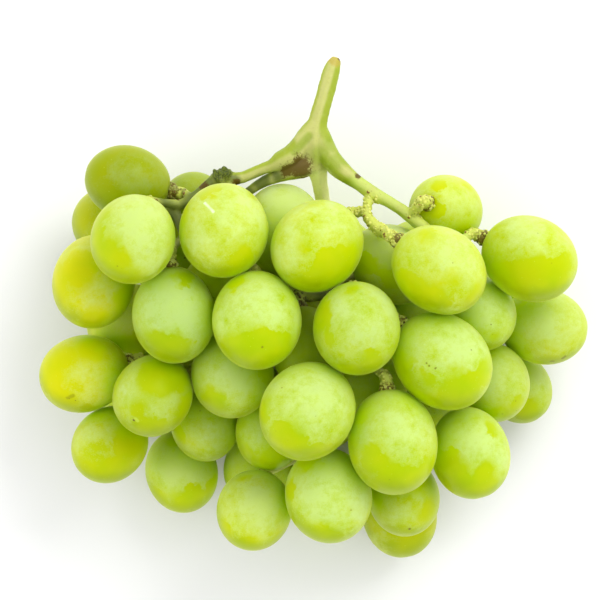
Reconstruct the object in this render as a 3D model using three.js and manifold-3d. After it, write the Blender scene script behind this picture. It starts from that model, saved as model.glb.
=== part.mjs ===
// A bunch of green table grapes, picked and laid down on its side, in millimetres.
// +Z is up, +Y runs towards the cut end of the stem and +X across the bunch.
// Every berry is a solid of its own. The stem, with its side branches and the small stalk of
// each berry, grew as one piece and is one solid, which winds through the gaps between berries.
import * as THREE from "three";
import { mergeVertices } from "three/addons/utils/BufferGeometryUtils.js";
import Module from "manifold-3d";

const wasm = await Module();
wasm.setup();

// ---- Driving dimensions ----

const BERRY_STRETCH = 1.18; // length over width
const BERRY_SIDES = 12;
const BERRY_RINGS = 7;
const SCAR_RADIUS = 1.9; // of the small flat at each end of a berry
const BERRY_GAP = 0.3; // least way between two berries
const FLOOR_PRESS = 0.6; // how far the lowest berries are pressed flat on what they lie on

const STALK_RADIUS = 1; // of the small stalk that carries one berry
const STALK_STRAIGHT = 3.6; // the stretch of it that runs straight into the berry
const SEAT_RADIUS = 1.75; // of its thick end
const SEAT_LENGTH = 1.6;
const SEAT_GAP = 0.3; // between the thick end and the berry

const BRANCH_RADIUS = 1.8; // the thickest that a hidden branch gets
const BRANCH_RADIUS_LEAST = 0.7;
const BRANCH_GROWTH = 0.3; // how fast it thickens with the number of berries that it feeds
const STEM_GAP = 0.35; // least way between the stem and any berry
const STEM_SIDES = 8;
const STALK_SIDES = 5;
const STEM_STEP = 2; // between two rings of a stem that is laid by hand

const CELL = 1; // of the grid in which the hidden branches find their way
const CELLS_PER_RING = 4; // of a hidden branch
const OPEN_ROOM = 5; // farther from any berry than this, a branch is free
const FIRST_FORK = 15; // rings of the main stem before the first hidden branch

// How easily a berry gives way across, along and up while the bunch settles.
const HELD = new THREE.Vector3(0.04, 0.04, 0.3);
const LOOSE = new THREE.Vector3(1, 1, 1);
const FIXED = new THREE.Vector3(0, 0, 0);

const UP = new THREE.Vector3(0, 0, 1);

// ---- Where the berries hang ----
// Across, along and up to the centre of the berry, its width, then the way its free end points:
// degrees round from +X and degrees up.

const OUTER_BERRIES = [
  // left shoulder
  [-46.3, 30.8, 34, 18.2, 168, 0],
  [-45.4, 17.4, 47, 20.6, 250, 50],
  [-22.6, 19.1, 51, 22, 265, 55],
  [-50.2, 20.5, 17, 18.5, 170, -40],
  [-30.3, 23.2, 22, 18, 100, -40],
  // left side
  [-55.3, 6.5, 31, 20.5, 260, 30],
  [-35.3, -1.8, 46, 20.4, 274, 0],
  [-47.3, -4.8, 18, 18, 210, -20],
  [-25, 5, 30, 18, 240, 50],
  [-57.3, -17.2, 25, 19.2, 195, 10],
  [-39.7, -21.8, 40, 19.3, 233, 48],
  [-51.7, -32.8, 23, 18.2, 225, 40],
  [-34, -41, 14, 18, 285, 20],
  [-26.5, -29, 25, 17, 280, 20],
  // middle
  [-14.3, -2.8, 52, 22, 272, 42],
  [0.7, 14.1, 50, 21.9, 225, 45],
  [-7, 20.4, 31, 20.6, 98, 20],
  [10.1, -4.1, 54, 21.4, 275, 50],
  [-19.4, -16.8, 36, 20.3, 265, 45],
  [-1.9, -25.4, 53, 23, 235, 50],
  [-13, -31, 31, 17, 270, 35],
  [-2, -11, 34, 18, 280, 20],
  [12, -19, 31, 18, 290, 10],
  // right shoulder
  [30.6, 9.2, 50, 20.9, 325, 15],
  [33, 24.2, 34, 17.6, 340, -62],
  [53.6, 12.4, 41, 20.7, 336, 12],
  [20, 10.3, 34, 19, 330, 10],
  [57.2, -5.6, 25, 18.7, 352, 5],
  [41.4, -1.6, 35, 17.7, 300, 55],
  [25, -1.5, 23, 18, 320, -20],
  // right side
  [31.4, -13.3, 51, 22.4, 318, 8],
  [45.3, -18.9, 30, 17.8, 285, 40],
  [51.3, -20.2, 12, 16.5, 310, 0],
  [39.3, -35.8, 36, 19.6, 285, 5],
  // tip
  [19.2, -33.4, 49, 22.1, 276, 8],
  [3.5, -46.8, 42, 21.4, 285, 40],
  [22.4, -47.6, 30, 17.8, 280, 40],
  [21.4, -52.4, 12.5, 18.6, 280, 0],
  [-15, -50.2, 29, 18.6, 255, 50],
  [-14.4, -39.5, 16, 17, 250, -10],
];

// The underside, which carries the bunch: across, along and width. These berries lie on the floor
// and their free ends point away from the main stem.
const LOWER_BERRIES = [
  [-36, 11, 19],
  [-16, 14, 19],
  [4, 12, 19],
  [25, 8, 19],
  [44, 3, 19],
  [-28, -6, 19],
  [-8, -6, 20],
  [12, -7, 19],
  [-38, -22, 19],
  [-18, -22, 19],
  [4, -24, 20],
  [29, -26, 19],
  [5, -41, 19],
];

// ---- Where the stem runs ----
// Across, along, up and radius. The main stem starts at its cut end.

const MAIN_STEM = [
  [5.4, 62.6, 35, 0.9],
  [5.2, 62, 35, 1.4],
  [4.3, 59.6, 35.2, 2.05],
  [2.5, 52.9, 36, 2],
  [0.9, 47.1, 36.5, 2.4],
  [0, 42, 36.5, 3],
  [0.4, 37, 35.5, 3],
  [1.2, 32, 30.5, 2.1],
  [2.2, 26, 25.5, 1.9],
  [3.4, 14, 25, 1.8],
  [6, 3, 28, 1.8],
  [5.5, -9, 28, 1.7],
  [3.5, -20, 26, 1.6],
  [1, -32, 28, 1.5],
];

const LEFT_BRANCH = [
  [-0.2, 45.5, 36.5, 2.2],
  [-2.9, 41.4, 36.5, 2.4],
  [-6, 37.9, 36.5, 2.7],
  [-8.7, 36.7, 36.5, 2.4],
  [-10.6, 35.6, 36.4, 1.5],
  [-13.1, 34.7, 36, 1.4],
  [-19.5, 32.2, 36, 1.4],
  [-23.1, 32.7, 36, 2.1],
  [-26.5, 31, 36, 1.1],
  [-29.5, 28.4, 36.5, 1],
  [-32.5, 26.2, 36.5, 1],
  [-35.3, 25, 35.5, 1],
];

const LEFT_FORK = [
  [0, 36.5, 35, 2.8],
  [-3, 35.4, 34.8, 3],
  [-6, 34.5, 34.6, 2.6],
  [-9.1, 33.1, 34.2, 1.7],
  [-13.1, 31.4, 33.5, 1.3],
  [-16.4, 29.2, 32.5, 1.1],
  [-19, 27, 31, 1],
];

const RIGHT_BRANCH = [
  [0.5, 46, 36.5, 2],
  [1.7, 42.2, 36.8, 2.3],
  [3.4, 38.2, 37.2, 2.6],
  [5.7, 35.2, 37.8, 2.6],
  [7.9, 33.3, 38.4, 2.2],
  [10.2, 31.6, 39, 1.8],
  [14.9, 28.6, 40, 1.5],
  [21.4, 24.6, 41, 1.4],
  [26, 20.8, 41.6, 1.4],
  [29.6, 18.3, 42.6, 1.3],
  [33.4, 17, 42.6, 1.2],
  [37, 16.9, 41.4, 1.1],
];

const RIGHT_FORK = [
  [14, 28.6, 40, 0.9],
  [12.9, 23.5, 42, 0.75],
  [14.8, 20.6, 44, 1.1],
  [17.2, 18.7, 45.4, 1.4],
];

const TIP_BRANCH = [
  [5.5, -9, 28, 1.2],
  [8.8, -10.2, 34, 1.1],
  [11.6, -12.4, 40, 1],
  [15, -15.2, 44.3, 1.2],
];

const LAID_STEMS = [MAIN_STEM, LEFT_BRANCH, LEFT_FORK, RIGHT_BRANCH, RIGHT_FORK, TIP_BRANCH];

// ---- Berries ----

function berryOf(centre, axis, width, freedom) {
  const home = centre.clone();
  return { centre, home, axis, radius: width / 2, half: (width * BERRY_STRETCH) / 2, freedom };
}

function outerBerry([x, y, z, width, round, rise]) {
  const theta = THREE.MathUtils.degToRad(round);
  const phi = THREE.MathUtils.degToRad(rise);
  const level = Math.cos(phi);
  const axis = new THREE.Vector3(level * Math.cos(theta), level * Math.sin(theta), Math.sin(phi));
  return berryOf(new THREE.Vector3(x, y, z), axis, width, HELD);
}

function lowerBerry([x, y, width]) {
  const centre = new THREE.Vector3(x, y, width / 2);
  const root = new THREE.Vector3(x, y + width / 2, width / 2);
  const stem = MAIN_STEM.map(([a, b, c]) => new THREE.Vector3(a, b, c));
  const fork = stem.reduce((best, at) => (at.distanceTo(root) < best.distanceTo(root) ? at : best));
  return berryOf(centre, centre.clone().sub(fork).normalize(), width, LOOSE);
}

// How far a berry reaches from its centre along a direction.
function reach(berry, way) {
  const along = way.dot(berry.axis);
  const across = Math.sqrt(Math.max(0, 1 - along * along));
  return Math.hypot(berry.radius * across, berry.half * along);
}

// The point of a berry, from its centre, that lies farthest along a direction.
function farthest(berry, way) {
  const along = way.dot(berry.axis);
  const point = way.clone().addScaledVector(berry.axis, -along).multiplyScalar(berry.radius ** 2);
  return point.addScaledVector(berry.axis, along * berry.half ** 2).divideScalar(reach(berry, way));
}

// The direction in which two berries lie farthest apart, and how far.
function parting(a, b) {
  const offset = b.centre.clone().sub(a.centre);
  const way = offset.clone().normalize();
  for (let turn = 0; turn < 4; turn++) {
    const pull = offset.clone().sub(farthest(a, way)).sub(farthest(b, way));
    pull.addScaledVector(way, -pull.dot(way));
    way.addScaledVector(pull, 0.04).normalize();
  }
  return { way, room: offset.dot(way) - reach(a, way) - reach(b, way) };
}

// The distance from a point to the skin of a berry, below zero inside it.
function roomTo(berry, point) {
  const from = point.clone().sub(berry.centre);
  const along = from.dot(berry.axis);
  const across = Math.sqrt(Math.max(0, from.lengthSq() - along * along));
  const scaled = Math.hypot(across / berry.radius, along / berry.half);
  const slope = Math.hypot(across / berry.radius ** 2, along / berry.half ** 2);
  return slope > 0 ? (scaled * (scaled - 1)) / slope : -berry.radius;
}

function scarHeight(berry) {
  return berry.half * Math.sqrt(1 - (SCAR_RADIUS / berry.radius) ** 2);
}

// A point on the stalk of a berry, some way behind the berry's flat end.
function onStalk(berry, way) {
  return berry.centre.clone().addScaledVector(berry.axis, -scarHeight(berry) - SEAT_GAP - way);
}

// ---- Settling the bunch ----

// Moves two things apart, each as easily as it gives way.
function pushApart(a, b, way, lack) {
  const ease = new THREE.Vector3().addVectors(a.freedom, b.freedom).multiply(way).dot(way);
  a.centre.addScaledVector(way.clone().multiply(a.freedom), -lack / ease);
  b.centre.addScaledVector(way.clone().multiply(b.freedom), lack / ease);
}

function clearBerries(berries) {
  let worst = 0;
  berries.forEach((a, i) => {
    for (const b of berries.slice(i + 1)) {
      if (a.centre.distanceTo(b.centre) > a.half + b.half + BERRY_GAP) continue;
      const { way, room } = parting(a, b);
      if (room >= BERRY_GAP) continue;
      worst = Math.max(worst, BERRY_GAP - room);
      pushApart(a, b, way, BERRY_GAP - room);
    }
  });
  return worst;
}

// Keeps a berry off a round piece of stem, which may hang on another berry.
function clearBead(berry, point, radius, holder) {
  const lack = radius + STEM_GAP - roomTo(berry, point);
  if (lack <= 0) return;
  const way = berry.centre.clone().sub(point).normalize();
  pushApart(holder, berry, way, Math.min(lack, 1));
}

function clearStems(berries, beads) {
  const ground = { centre: new THREE.Vector3(), freedom: FIXED };
  for (const berry of berries) {
    for (const { point, radius } of beads) clearBead(berry, point, radius, ground);
  }
}

function clearStalks(berries) {
  for (const owner of berries) {
    const seat = onStalk(owner, SEAT_LENGTH);
    const root = onStalk(owner, STALK_STRAIGHT);
    for (const berry of berries) {
      if (berry === owner) continue;
      clearBead(berry, seat, SEAT_RADIUS, owner);
      clearBead(berry, root, STALK_RADIUS, owner);
    }
  }
}

function standOnFloor(berries) {
  for (const berry of berries) {
    berry.centre.z = Math.max(berry.centre.z, reach(berry, UP) - FLOOR_PRESS);
  }
}

// Draws each berry to its home, less and less, while nothing may overlap.
function settle(berries, beads) {
  const rounds = 260;
  const drawn = 200;
  for (let round = 0; round < rounds; round++) {
    const draw = 0.12 * Math.max(0, 1 - round / drawn);
    for (const berry of berries) berry.centre.lerp(berry.home, draw);
    clearStems(berries, beads);
    clearStalks(berries);
    clearBerries(berries);
    standOnFloor(berries);
  }
  for (let round = 0, worst = 1; worst > 0.02 && round < rounds; round++) {
    clearStems(berries, beads);
    worst = clearBerries(berries);
    standOnFloor(berries);
  }
}

// ---- The way of the hidden branches ----

// A grid over the bunch that holds the room from each cell to the nearest berry.
function roomGrid(berries) {
  const box = new THREE.Box3().setFromPoints(berries.map(({ centre }) => centre));
  box.expandByScalar(OPEN_ROOM);
  const size = box.getSize(new THREE.Vector3()).divideScalar(CELL).ceil();
  const room = new Float32Array(size.x * size.y * size.z).fill(OPEN_ROOM);
  const indexOf = ({ x, y, z }) => (z * size.y + y) * size.x + x;
  const cellAt = (index) => new THREE.Vector3(
    index % size.x,
    Math.floor(index / size.x) % size.y,
    Math.floor(index / (size.x * size.y)),
  );
  const cellOf = (point) => point.clone().sub(box.min).divideScalar(CELL).round();
  const pointOf = (cell) => cell.clone().multiplyScalar(CELL).add(box.min);
  const last = size.clone().subScalar(1);
  const inside = (cell) => cell.equals(cell.clone().clamp(FIXED, last));
  for (const berry of berries) {
    const span = berry.half + OPEN_ROOM;
    const low = cellOf(berry.centre.clone().subScalar(span)).clamp(FIXED, last);
    const high = cellOf(berry.centre.clone().addScalar(span)).clamp(FIXED, last);
    const cell = new THREE.Vector3();
    for (cell.z = low.z; cell.z <= high.z; cell.z++) {
      for (cell.y = low.y; cell.y <= high.y; cell.y++) {
        for (cell.x = low.x; cell.x <= high.x; cell.x++) {
          const index = indexOf(cell);
          room[index] = Math.min(room[index], roomTo(berry, pointOf(cell)));
        }
      }
    }
  }
  return { room, indexOf, cellAt, cellOf, pointOf, inside };
}

// A queue that gives its cheapest entry first.
class Queue {
  entries = [];

  push(cost, index) {
    const { entries } = this;
    let at = entries.push({ cost, index }) - 1;
    while (at > 0) {
      const above = (at - 1) >> 1;
      if (entries[above].cost <= entries[at].cost) break;
      [entries[above], entries[at]] = [entries[at], entries[above]];
      at = above;
    }
  }

  pop() {
    const { entries } = this;
    const first = entries[0];
    const last = entries.pop();
    if (entries.length === 0) return first;
    entries[0] = last;
    for (let at = 0, least = 0; ; at = least) {
      for (const below of [2 * at + 1, 2 * at + 2]) {
        if (below < entries.length && entries[below].cost < entries[least].cost) least = below;
      }
      if (least === at) return first;
      [entries[least], entries[at]] = [entries[at], entries[least]];
    }
  }
}

const STEPS = [-1, 0, 1]
  .flatMap((x) => [-1, 0, 1].flatMap((y) => [-1, 0, 1].map((z) => new THREE.Vector3(x, y, z))))
  .filter((step) => step.lengthSq() > 0);

// What one cell's width costs: open room is cheap, and a gap too narrow for a stalk is dear.
function priceOf(room) {
  const spare = room - STALK_RADIUS - STEM_GAP;
  return spare > 0 ? 1 + 0.6 / (1 + spare) : 6 - 40 * spare;
}

// The cheapest way through the gaps from a point to the nearest cell of the stem.
function findWay(grid, stemCells, from) {
  const start = grid.indexOf(grid.cellOf(from));
  const paid = new Map([[start, 0]]);
  const cameFrom = new Map();
  const queue = new Queue();
  queue.push(0, start);
  while (queue.entries.length > 0) {
    const { cost, index } = queue.pop();
    if (cost > paid.get(index)) continue;
    if (stemCells.has(index)) {
      const points = [];
      for (let at = index; at !== undefined; at = cameFrom.get(at)) {
        points.push(grid.pointOf(grid.cellAt(at)));
      }
      return { fork: stemCells.get(index), points };
    }
    const cell = grid.cellAt(index);
    for (const step of STEPS) {
      const next = cell.clone().add(step);
      if (!grid.inside(next)) continue;
      const nextIndex = grid.indexOf(next);
      const total = cost + step.length() * priceOf(grid.room[nextIndex]);
      if (total >= (paid.get(nextIndex) ?? Infinity)) continue;
      paid.set(nextIndex, total);
      cameFrom.set(nextIndex, index);
      queue.push(total, nextIndex);
    }
  }
  throw new Error("a berry hangs where no branch can reach it");
}

// ---- Growing the stem ----
// The stem is a tree of nodes. Each knows its point, its radius and the node nearer the root.

function beadsAlong(line) {
  const curve = new THREE.CatmullRomCurve3(line.map(([x, y, z]) => new THREE.Vector3(x, y, z)));
  const steps = Math.round(curve.getLength() / STEM_STEP);
  return Array.from({ length: steps + 1 }, (_, i) => {
    const along = (i / steps) * (line.length - 1);
    const k = Math.min(Math.floor(along), line.length - 2);
    const radius = THREE.MathUtils.lerp(line[k][3], line[k + 1][3], along - k);
    return { point: curve.getPoint(i / steps), radius };
  });
}

// Adds a stem that is laid by hand, from the node nearest to its first point.
function layStem(nodes, line) {
  const first = new THREE.Vector3(...line[0]);
  const nearer = (a, b) => (b.point.distanceTo(first) < a.point.distanceTo(first) ? b : a);
  let parent = nodes.length > 0 ? nodes.reduce(nearer) : null;
  for (const { point, radius } of beadsAlong(line)) {
    parent = { point, radius, parent, load: 0, settled: true };
    nodes.push(parent);
  }
}

// Adds the hidden branch and the stalk of one berry.
function growStalk(nodes, grid, stemCells, berry) {
  const root = onStalk(berry, STALK_STRAIGHT);
  const { fork, points } = findWay(grid, stemCells, root);
  const branch = points.slice(0, -CELLS_PER_RING).filter((_, i) => i > 0 && i % CELLS_PER_RING === 0);
  let parent = fork;
  for (const point of branch) {
    parent = { point, parent, load: 0, settled: false };
    nodes.push(parent);
    stemCells.set(grid.indexOf(grid.cellOf(point)), parent);
  }
  const ends = [[root, STALK_RADIUS], [onStalk(berry, SEAT_LENGTH), STALK_RADIUS]];
  for (const [point, radius] of [...ends, [onStalk(berry, 0), SEAT_RADIUS]]) {
    parent = { point, radius, parent, load: 0, settled: true };
    nodes.push(parent);
  }
  for (let node = parent; node; node = node.parent) node.load++;
}

function growStem(berries) {
  const nodes = [];
  for (const line of LAID_STEMS) layStem(nodes, line);
  const grid = roomGrid(berries);
  const stemCells = new Map();
  for (const node of nodes.slice(FIRST_FORK)) {
    stemCells.set(grid.indexOf(grid.cellOf(node.point)), node);
  }
  const laid = [...nodes];
  const wayOf = (berry) => {
    const root = onStalk(berry, STALK_STRAIGHT);
    return Math.min(...laid.map(({ point }) => point.distanceTo(root)));
  };
  const nearestFirst = [...berries].sort((a, b) => wayOf(a) - wayOf(b));
  for (const berry of nearestFirst) growStalk(nodes, grid, stemCells, berry);
  roundOff(nodes, berries);
  thicken(nodes, berries);
  return nodes;
}

// Draws the hidden branches straight and keeps them off the berries.
function roundOff(nodes, berries) {
  const joined = new Map(nodes.map((node) => [node, []]));
  for (const node of nodes) {
    if (!node.parent) continue;
    joined.get(node).push(node.parent.point);
    joined.get(node.parent).push(node.point);
  }
  for (let round = 0; round < 40; round++) {
    for (const node of nodes) {
      if (node.settled) continue;
      const { point } = node;
      const middle = new THREE.Vector3();
      const others = joined.get(node);
      for (const other of others) middle.addScaledVector(other, 1 / others.length);
      point.lerp(middle, 0.4);
      for (const berry of berries) {
        const lack = STALK_RADIUS + 1.3 * STEM_GAP - roomTo(berry, point);
        if (lack > 0) point.addScaledVector(point.clone().sub(berry.centre).normalize(), lack);
      }
    }
  }
}

// Gives each hidden branch the thickness that its berries ask for and its gap allows.
function thicken(nodes, berries) {
  for (const node of nodes) {
    if (node.settled) continue;
    const room = Math.min(...berries.map((berry) => roomTo(berry, node.point))) - STEM_GAP;
    const wanted = Math.min(BRANCH_RADIUS, STALK_RADIUS * node.load ** BRANCH_GROWTH);
    node.radius = Math.max(BRANCH_RADIUS_LEAST, Math.min(wanted, room));
  }
}

// ---- Solids ----

function solidOf(geometry) {
  const bare = geometry.clone();
  bare.deleteAttribute("normal");
  bare.deleteAttribute("uv");
  const merged = mergeVertices(bare, 1e-4);
  const triVerts = new Uint32Array(merged.index.array);
  const vertProperties = new Float32Array(merged.attributes.position.array);
  return new wasm.Manifold(new wasm.Mesh({ numProp: 3, vertProperties, triVerts }));
}

function geometryOf(solid) {
  const { vertProperties, triVerts } = solid.getMesh();
  const geometry = new THREE.BufferGeometry();
  geometry.setAttribute("position", new THREE.BufferAttribute(vertProperties, 3));
  geometry.setIndex(new THREE.BufferAttribute(triVerts, 1));
  return geometry;
}

// An egg-shaped body, flat at both ends, and flat below where it lies on the floor.
function makeBerry(berry) {
  const end = Math.asin(SCAR_RADIUS / berry.radius);
  const profile = [new THREE.Vector2(0, -scarHeight(berry))];
  for (let ring = 0; ring < BERRY_RINGS; ring++) {
    const turn = THREE.MathUtils.lerp(end, Math.PI - end, ring / (BERRY_RINGS - 1));
    profile.push(new THREE.Vector2(berry.radius * Math.sin(turn), -berry.half * Math.cos(turn)));
  }
  profile.push(new THREE.Vector2(0, scarHeight(berry)));
  const body = new THREE.LatheGeometry(profile, BERRY_SIDES);
  const turn = new THREE.Quaternion().setFromUnitVectors(new THREE.Vector3(0, 1, 0), berry.axis);
  body.applyQuaternion(turn).translate(...berry.centre.toArray());
  const floor = new THREE.BoxGeometry(4 * berry.half, 4 * berry.half, berry.half);
  floor.translate(berry.centre.x, berry.centre.y, -berry.half / 2);
  return geometryOf(solidOf(body).subtract(solidOf(floor)));
}

// Splits the tree into lines, each of which follows the branch that feeds most berries.
function branchLines(nodes) {
  const children = new Map(nodes.map((node) => [node, []]));
  for (const node of nodes) if (node.parent) children.get(node.parent).push(node);
  const lines = [];
  const follow = (first) => {
    const line = first.parent ? [{ point: first.parent.point, radius: first.radius }] : [];
    for (let node = first; node; ) {
      line.push(node);
      const [heaviest, ...others] = children.get(node).sort((a, b) => b.load - a.load);
      others.forEach(follow);
      node = heaviest;
    }
    lines.push(line);
  };
  follow(nodes[0]);
  return lines;
}

// A tapering branch: a cylinder whose rings are moved onto the nodes of a line.
function makeBranch(line) {
  const steps = line.length - 1;
  const sides = line[0].radius > BRANCH_RADIUS_LEAST * 2 ? STEM_SIDES : STALK_SIDES;
  const branch = new THREE.CylinderGeometry(1, 1, 1, sides, steps);
  const curve = new THREE.CatmullRomCurve3(line.map(({ point }) => point));
  let side = Math.abs(curve.getTangent(0).z) < 0.8 ? UP : new THREE.Vector3(1, 0, 0);
  const frames = line.map((_, i) => {
    const tangent = curve.getTangent(i / steps);
    side = side.clone().addScaledVector(tangent, -side.dot(tangent)).normalize();
    return { side, other: tangent.clone().cross(side) };
  });
  const position = branch.attributes.position;
  for (let i = 0; i < position.count; i++) {
    const ring = Math.round((position.getY(i) + 0.5) * steps);
    const { point, radius } = line[ring];
    const at = point.clone();
    at.addScaledVector(frames[ring].side, position.getZ(i) * radius);
    at.addScaledVector(frames[ring].other, position.getX(i) * radius);
    position.setXYZ(i, at.x, at.y, at.z);
  }
  return solidOf(branch);
}

// All the branches joined. A scrap that they cut off between them is dropped.
function makeStem(nodes) {
  const joined = branchLines(nodes).map(makeBranch).reduce((all, branch) => all.add(branch));
  const bodies = solidOf(geometryOf(joined)).decompose();
  return geometryOf(bodies.reduce((most, body) => (body.volume() > most.volume() ? body : most)));
}

// ---- The bunch ----

const berries = [...OUTER_BERRIES.map(outerBerry), ...LOWER_BERRIES.map(lowerBerry)];
settle(berries, LAID_STEMS.flatMap(beadsAlong));

const bunch = new THREE.Group();

berries.forEach((berry, i) => {
  const skin = new THREE.MeshStandardMaterial({ color: 0xb4cc3c, roughness: 0.4, metalness: 0 });
  const mesh = new THREE.Mesh(makeBerry(berry), skin);
  mesh.name = `berry_${String(i + 1).padStart(2, "0")}`;
  bunch.add(mesh);
});

const bark = new THREE.MeshStandardMaterial({ color: 0x9fb04a, roughness: 0.6, metalness: 0 });
const stem = new THREE.Mesh(makeStem(growStem(berries)), bark);
stem.name = "stem";
bunch.add(stem);

// The origin lies on the floor, under the middle of the bunch.
const box = new THREE.Box3().setFromObject(bunch);
const middle = box.getCenter(new THREE.Vector3());
bunch.position.set(-middle.x, -middle.y, -box.min.z);

export default bunch;
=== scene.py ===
import math
import random
from typing import NamedTuple

import bmesh
import bpy
import numpy as np
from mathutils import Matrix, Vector


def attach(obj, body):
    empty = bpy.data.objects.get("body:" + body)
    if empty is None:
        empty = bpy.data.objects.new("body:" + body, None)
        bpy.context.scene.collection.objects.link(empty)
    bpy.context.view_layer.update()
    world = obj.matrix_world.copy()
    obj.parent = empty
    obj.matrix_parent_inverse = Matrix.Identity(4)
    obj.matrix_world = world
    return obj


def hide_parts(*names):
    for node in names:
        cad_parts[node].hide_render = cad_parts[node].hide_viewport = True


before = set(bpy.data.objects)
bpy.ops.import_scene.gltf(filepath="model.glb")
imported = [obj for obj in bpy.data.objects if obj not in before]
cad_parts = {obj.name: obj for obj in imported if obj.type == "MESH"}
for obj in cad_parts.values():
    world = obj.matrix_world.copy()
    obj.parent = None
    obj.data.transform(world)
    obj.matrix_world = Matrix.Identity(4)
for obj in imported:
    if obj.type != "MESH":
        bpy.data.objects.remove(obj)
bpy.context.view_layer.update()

# A bunch of green grapes that lies on its side. Lengths are in metres, unless they say otherwise.
MM = 0.001

# The shape of a grape
GRAPE_SIDES = 64
GRAPE_RINGS = 44
POLE_CROWDING = 0.75  # how closely the rings stand at both ends
SWELL = 0.15 * MM  # beyond the solid, so that neighbours touch
LUMP_HEIGHT = 0.16 * MM
LUMP_WAVES = 6
LUMP_FINENESS = 1.6
EGG_SHAPE = 0.02  # how much fuller the free end is
STALK_DIMPLE = 0.35 * MM
STALK_DIMPLE_RADIUS = 1.7 * MM
SCAR_DIMPLE = 0.12 * MM
SCAR_DIMPLE_RADIUS = 1.1 * MM
SCAR_PIP = 0.6 * SCAR_DIMPLE  # how high the scar stands up in its dimple
SCAR_PIP_RADIUS = 0.4 * MM

# The look of a grape
BLOOM_HIGHLIGHT_SIDE = np.array((0.15, 0.55, 0.75))  # the side of a grape that keeps most bloom; it faces the key light, so its paler bloom is partly a painted highlight
BLOOM_HIGHLIGHT_WIDTH = 0.25  # how far that side reaches past the middle of the grape
PRESS_REACH = 3.5 * MM  # how far round a touch between two grapes the bloom is gone
SHELTER_REACH = 12 * MM  # how far off a grape still covers another
SCAR_STAIN = 0.9 * MM
STALK_STAIN = 2.2 * MM
FAINT_SCAR = (0.55, 0.75)  # how plain a scar is on most grapes, where 1 is plainest
SCARRED = (10, 11, 28, 34, 37, 38)  # grapes whose free end shows a plain scar
UNSCARRED = (15,)  # grapes whose free end shows none
HIDDEN_RUBBED = 3  # patches on the lower side of each grape
HIDDEN_THICK = 2
HIDDEN_DROP = (-1, -0.25)  # where they lie, from the lowest point up, in radii
HIDDEN_RADIUS = (0.25, 0.55)

# The shape of the stem
STEM_VOXEL = 0.36 * MM
STEM_SMOOTHING = 8
DOUBLES_APART = 0.001 * MM  # points of the solid this close are one
STEM_SWELL = 0.15 * MM
FULL_SWELL = 0.4 * MM  # how much more it swells at its full places
FORK = (1.2, 39.5, 36)  # where the main arms part, in millimetres
BRANCH_MARKS = 900  # points of the stem that are enough to tell which way it runs
BRANCH_REACH = 3 * MM
STALK_REACH = 8 * MM  # how far from its grape a stalk is warty
STALK_SWELL = 0.6 * MM  # how much thicker it gets there
STALK_FULL = 1.6  # above 1, so that it is at its thickest before its very end
STALK_FLARE = 1.5  # how suddenly it thickens, where 1 is evenly
STALK_LUMP = 0.12 * MM
STALK_LUMP_SPACING = 1.3 * MM
KNOT_SWELL = 0.36 * MM
KNOT_CORE = 0.5  # how far out a knot is fully a knot, in its radii
KNOT_LUMP_SPACING = 1.5 * MM
LUMP_SEED = 60
BARK_WAVES = 12

# The look of the stem
EVENING_ROUNDS = 60  # how far colour runs smoothly from one side of a branch to the next
SEAT_STAIN = 3.2 * MM  # how far from its grape a stalk is brown
WARTY_MOST = 0.5  # how much like a stalk the warty places are at most
HEIGHT_COUNTS = (1, 1, 0.4)  # how much a step across, along or up counts against a place's radius
GRAIN_WIDTH = 2 * MM
GRAIN_STRETCH = 10  # how much longer than wide the streaks are

# The warts
WARTS_PER_SQUARE_METRE = 1e6
WART_LEAST = 0.35 * MM
WART_GREATEST = 0.65 * MM
WART_SINK = 0.35  # in radii
WART_FLATNESS = 0.9
WART_SIDES = 6
WART_RINGS = 4
WART_SEED = 7

# The studio
FLOOR_SPAN = 3
FLOOR_GAP = 0.05 * MM
LIGHTS_AIM = (0, 0, 0.03)
LIGHTS = [  # name, place, size, watts and colour
    ("key", (0.45, 0.55, 0.7), 0.7, 5.3, (1, 1, 0.97)),
    ("left", (-0.85, -0.2, 0.4), 0.8, 1.9, (1, 1, 1)),
    ("front", (0.3, -0.9, 0.35), 0.8, 0.9, (1, 1, 1)),
]
SKY_STRENGTH = 0.95
VIEW_CENTRE = (-3.5, 2.1)  # millimetres
VIEW_WIDTH = 150 * MM
VIEW_LEVEL = 42 * MM  # the height at which the view has its width
CAMERA_HEIGHT = 2.0
CAMERA_SENSOR = 36  # millimetres


def paint(red, green, blue):
    """A colour as shown on a screen, from 0 to 255, in linear light."""
    parts = [level / 255 for level in (red, green, blue)]
    linear = [p / 12.92 if p <= 0.04045 else ((p + 0.055) / 1.055) ** 2.4 for p in parts]
    return (*linear, 1)


# Colours of the grapes
GREEN_SKIN = paint(166, 192, 0)
GOLDEN_SKIN = paint(204, 202, 0)
# Painted shade: a darker, fuller green for the lower side of each grape, away from the light
PAINTED_LOWER_SHADE_SKIN = paint(132, 152, 0)
# Painted light: a brighter green where neighbours cover the skin, standing in for light carried
# through the grapes into their shade
PAINTED_GLOW_SKIN = paint(184, 212, 0)
# Painted shade: the colour that whole grapes are darkened towards
PAINTED_SHADE_SKIN = paint(84, 104, 0)
GREEN_BLOOM = paint(186, 211, 130)
GOLDEN_BLOOM = paint(203, 211, 116)
PALE_DOT = paint(206, 222, 100)
SKIN_SPECK = paint(88, 84, 20)
SCAR_BROWN = paint(84, 66, 26)
MARK_COLOURS = {
    "scratch": paint(220, 240, 212),
    "pale": paint(186, 204, 76),
    "dark": paint(112, 112, 24),
    "faint": paint(150, 152, 20),
}

# Colours of the stem
BARK = paint(160, 173, 52)
PALE_BARK = paint(198, 197, 124)
GREEN_BARK = paint(140, 162, 26)
# Grey-green turned bark, also laid as painted shade
GREY_AND_SHADE_BARK = paint(82, 98, 34)
DARK_KNOT = paint(46, 58, 0)
GREEN_KNOT = paint(96, 110, 20)
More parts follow.
